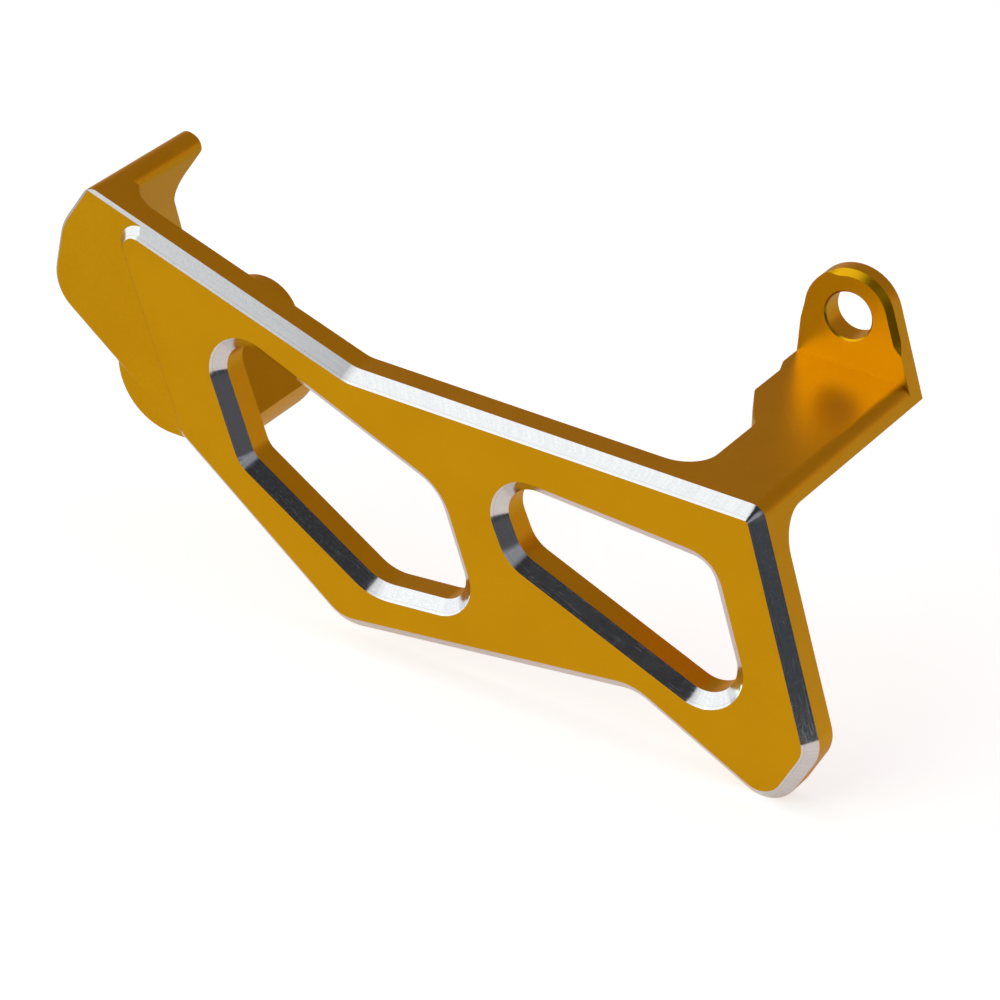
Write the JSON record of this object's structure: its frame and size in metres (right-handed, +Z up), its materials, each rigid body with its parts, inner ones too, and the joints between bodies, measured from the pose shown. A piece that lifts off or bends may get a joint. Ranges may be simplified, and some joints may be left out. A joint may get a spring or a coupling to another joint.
{
  "type": "brake caliper guard",
  "caption": "Slanted guard plate with triangular windows, bevelled edges, and an arm and boss that bolt it over a motorcycle brake caliper.",
  "frame": {"origin": "centre of the ear's bolt hole, on the ear's rear face, which seats on the caliper", "axes": "+Y out of the ear's rear face, into the caliper; +Z up, square to the plate's level top edge; +X to the right, seen from the front"},
  "size_m": [0.1449, 0.0562, 0.0668],
  "materials": {
    "anodised_aluminium": "satin gold anodising over fine blasted aluminium, with bare bright machined chamfers"
  },
  "bodies": {
    "root": {"caliper_guard": "anodised_aluminium"}
  },
  "joints": []
}
